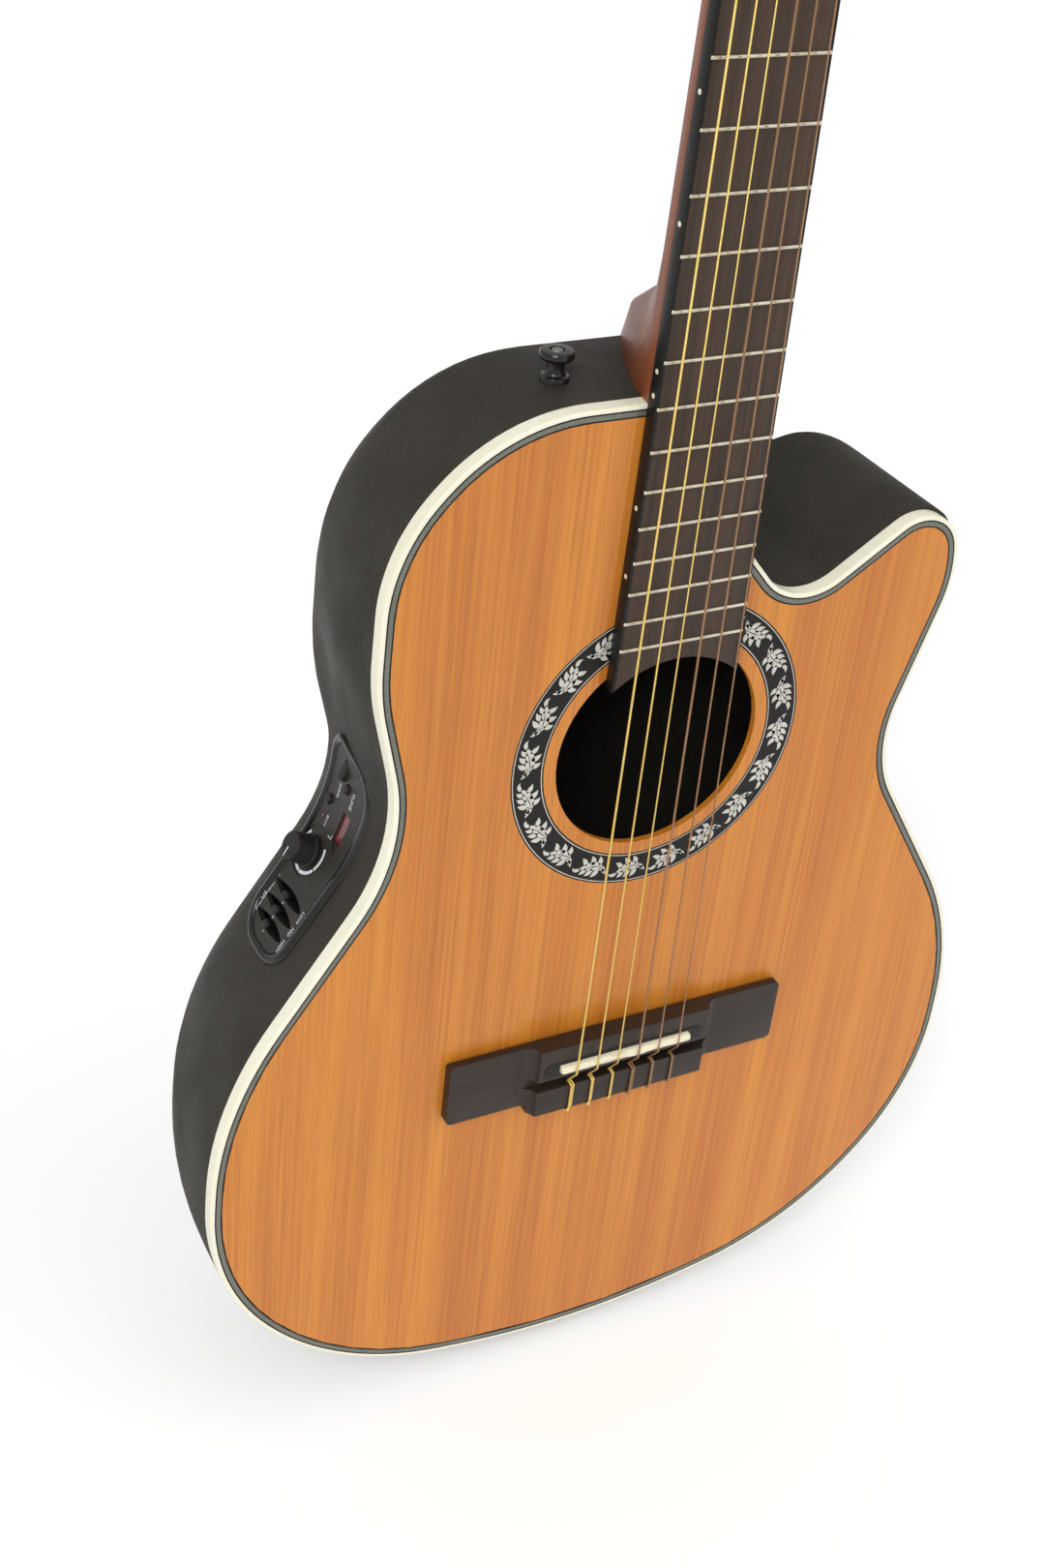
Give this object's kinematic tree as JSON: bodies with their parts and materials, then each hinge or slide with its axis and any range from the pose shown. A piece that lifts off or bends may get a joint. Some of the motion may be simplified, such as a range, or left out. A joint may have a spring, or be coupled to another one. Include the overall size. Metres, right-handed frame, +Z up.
{
  "type": "acoustic-electric classical guitar",
  "caption": "Round-back nylon-string guitar with a cutaway, slotted headstock with geared tuners, tie-block bridge and a preamp in the bowl.",
  "frame": {"origin": "on the centre line at the edge of the nut, in the plane of the soundboard", "axes": "+Z up the neck, -Y out of the soundboard, +X towards the treble side"},
  "size_m": [0.4062, 0.1651, 1.0415],
  "materials": {
    "black_composite": "fine matte texture",
    "cedar": "satin lacquer",
    "ivory_plastic": "gloss",
    "purfling_strip": "black, grey and black lines",
    "rosette_inlay": "silver motifs on black",
    "spruce": "raw",
    "mahogany": "satin",
    "rosewood": "oiled",
    "black_strip": "satin",
    "fret_metal": "polished",
    "bone": "polished",
    "wound_string": "fine winding",
    "nylon_string": "clear brown",
    "brass_metal": "polished",
    "steel": "satin",
    "black_plastic": "satin",
    "red_window": "gloss",
    "pearl_plastic": "pearl",
    "roller_plastic": "white",
    "jack_metal": "polished"
  },
  "bodies": {
    "guitar": {"bowl": "black_composite", "soundboard": "cedar", "binding": "ivory_plastic", "purfling": "purfling_strip", "rosette": "rosette_inlay", "top_braces": "spruce", "neck_block": "mahogany", "strap_buttons": "black_plastic", "jack_socket": "jack_metal", "neck": "mahogany", "headstock_veneer": "rosewood", "truss_rod": "steel", "fingerboard": "rosewood", "fingerboard_binding": "black_strip", "frets": "fret_metal", "nut": "bone", "bass_strings": "wound_string", "treble_strings": "nylon_string", "bridge": "rosewood", "pickup_channel": "black_plastic", "saddle": "bone", "preamp_rim": "black_plastic", "preamp_panel": "black_plastic", "preamp_housing": "black_plastic", "tuner_window": "red_window", "tuner_plates": "brass_metal", "tuner_screws": "brass_metal"},
    "key_1": {"tuner_button_1": "pearl_plastic", "tuner_worm_1": "brass_metal"},
    "roller_1": {"tuner_gear_1": "brass_metal", "tuner_roller_1": "roller_plastic"},
    "key_2": {"tuner_button_2": "pearl_plastic", "tuner_worm_2": "brass_metal"},
    "roller_2": {"tuner_gear_2": "brass_metal", "tuner_roller_2": "roller_plastic"},
    "key_3": {"tuner_button_3": "pearl_plastic", "tuner_worm_3": "brass_metal"},
    "roller_3": {"tuner_gear_3": "brass_metal", "tuner_roller_3": "roller_plastic"},
    "key_4": {"tuner_button_4": "pearl_plastic", "tuner_worm_4": "brass_metal"},
    "roller_4": {"tuner_gear_4": "brass_metal", "tuner_roller_4": "roller_plastic"},
    "key_5": {"tuner_button_5": "pearl_plastic", "tuner_worm_5": "brass_metal"},
    "roller_5": {"tuner_gear_5": "brass_metal", "tuner_roller_5": "roller_plastic"},
    "key_6": {"tuner_button_6": "pearl_plastic", "tuner_worm_6": "brass_metal"},
    "roller_6": {"tuner_gear_6": "brass_metal", "tuner_roller_6": "roller_plastic"},
    "volume": {"volume_knob": "black_plastic"},
    "fader_low": {"slider_low": "black_plastic"},
    "fader_middle": {"slider_middle": "black_plastic"},
    "fader_high": {"slider_high": "black_plastic"},
    "push_tune": {"tuner_button": "black_plastic"},
    "push_shape": {"shape_button": "black_plastic"},
    "push_battery": {"battery_release": "black_plastic"}
  },
  "joints": [
    {"name": "key_turn_1", "type": "hinge", "parent": "guitar", "child": "key_1", "pos_m": [-0.0382, 0.02306, 0.04855], "axis": [0, 0.9659, -0.2588], "continuous": true},
    {"name": "roller_turn_1", "type": "hinge", "parent": "guitar", "child": "roller_1", "pos_m": [-0.02, 0.02512, 0.05625], "axis": [1, 0, 0], "continuous": true},
    {"name": "key_turn_2", "type": "hinge", "parent": "guitar", "child": "key_2", "pos_m": [-0.0382, 0.03212, 0.08236], "axis": [0, 0.9659, -0.2588], "continuous": true},
    {"name": "roller_turn_2", "type": "hinge", "parent": "guitar", "child": "roller_2", "pos_m": [-0.02, 0.03418, 0.09005], "axis": [1, 0, 0], "continuous": true},
    {"name": "key_turn_3", "type": "hinge", "parent": "guitar", "child": "key_3", "pos_m": [-0.0382, 0.04117, 0.11616], "axis": [0, 0.9659, -0.2588], "continuous": true},
    {"name": "roller_turn_3", "type": "hinge", "parent": "guitar", "child": "roller_3", "pos_m": [-0.02, 0.04324, 0.12386], "axis": [1, 0, 0], "continuous": true},
    {"name": "key_turn_4", "type": "hinge", "parent": "guitar", "child": "key_4", "pos_m": [0.0382, 0.04117, 0.11616], "axis": [0, 0.9659, -0.2588], "continuous": true},
    {"name": "roller_turn_4", "type": "hinge", "parent": "guitar", "child": "roller_4", "pos_m": [0.02, 0.04324, 0.12386], "axis": [1, 0, 0], "continuous": true},
    {"name": "key_turn_5", "type": "hinge", "parent": "guitar", "child": "key_5", "pos_m": [0.0382, 0.03212, 0.08236], "axis": [0, 0.9659, -0.2588], "continuous": true},
    {"name": "roller_turn_5", "type": "hinge", "parent": "guitar", "child": "roller_5", "pos_m": [0.02, 0.03418, 0.09005], "axis": [1, 0, 0], "continuous": true},
    {"name": "key_turn_6", "type": "hinge", "parent": "guitar", "child": "key_6", "pos_m": [0.0382, 0.02306, 0.04855], "axis": [0, 0.9659, -0.2588], "continuous": true},
    {"name": "roller_turn_6", "type": "hinge", "parent": "guitar", "child": "roller_6", "pos_m": [0.02, 0.02512, 0.05625], "axis": [1, 0, 0], "continuous": true},
    {"name": "volume_turn", "type": "hinge", "parent": "guitar", "child": "volume", "pos_m": [-0.14223, 0.05217, -0.54518], "axis": [-0.8637, 0.0349, 0.5027], "range_deg": [-150, 150]},
    {"name": "fader_low_slide", "type": "slide", "parent": "guitar", "child": "fader_low", "axis": [0.0302, 0.9994, -0.0176], "range_m": [-0.01, 0.01]},
    {"name": "fader_middle_slide", "type": "slide", "parent": "guitar", "child": "fader_middle", "axis": [0.0302, 0.9994, -0.0176], "range_m": [-0.01, 0.01]},
    {"name": "fader_high_slide", "type": "slide", "parent": "guitar", "child": "fader_high", "axis": [0.0302, 0.9994, -0.0176], "range_m": [-0.01, 0.01]},
    {"name": "push_tune", "type": "slide", "parent": "guitar", "child": "push_tune", "axis": [0.8637, -0.0349, -0.5027], "range_m": [0, 0.001], "stiffness_N_per_m": 400, "springref_m": -0.0005},
    {"name": "push_shape", "type": "slide", "parent": "guitar", "child": "push_shape", "axis": [0.8637, -0.0349, -0.5027], "range_m": [0, 0.001], "stiffness_N_per_m": 400, "springref_m": -0.0005},
    {"name": "push_battery", "type": "slide", "parent": "guitar", "child": "push_battery", "axis": [0.8637, -0.0349, -0.5027], "range_m": [0, 0.0012], "stiffness_N_per_m": 400, "springref_m": -0.0005}
  ],
  "couplings": [
    {"joint": "roller_turn_1", "follows": "key_turn_1", "ratio": 0.071429},
    {"joint": "roller_turn_2", "follows": "key_turn_2", "ratio": 0.071429},
    {"joint": "roller_turn_3", "follows": "key_turn_3", "ratio": 0.071429},
    {"joint": "roller_turn_4", "follows": "key_turn_4", "ratio": -0.071429},
    {"joint": "roller_turn_5", "follows": "key_turn_5", "ratio": -0.071429},
    {"joint": "roller_turn_6", "follows": "key_turn_6", "ratio": -0.071429}
  ]
}
